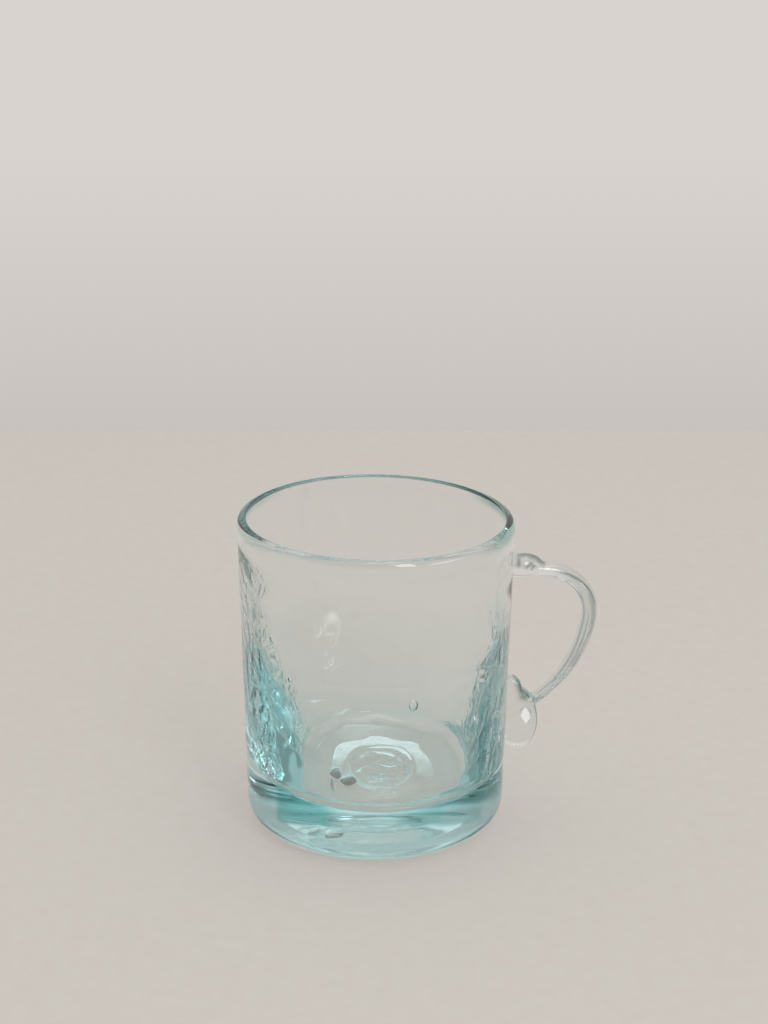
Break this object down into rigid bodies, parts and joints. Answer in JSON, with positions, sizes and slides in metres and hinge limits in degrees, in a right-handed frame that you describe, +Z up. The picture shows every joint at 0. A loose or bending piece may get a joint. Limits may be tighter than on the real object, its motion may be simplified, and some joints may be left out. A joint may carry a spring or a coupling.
{
  "type": "handled glass cup",
  "caption": "Small hand-blown cup of pale aqua glass with a heavy thick-walled base and an applied loop handle, for a short milky coffee.",
  "frame": {"origin": "on the cup's axis, on the plane of the ring that it stands on", "axes": "+Z up along the cup's axis, +X towards the handle, +Y completes the right-handed frame"},
  "size_m": [0.0824, 0.0632, 0.074],
  "materials": {
    "aqua_glass": "clear blown glass with a pale aqua tint, fire-polished",
    "pontil_glass": "rough broken glass, whitish",
    "handle_glass": "clear drawn glass, almost colourless"
  },
  "bodies": {
    "root": {"bowl": "aqua_glass", "base": "aqua_glass", "pontil_mark": "pontil_glass", "upper_pad": "handle_glass", "handle_strap": "handle_glass", "lower_pad": "handle_glass"}
  },
  "joints": []
}
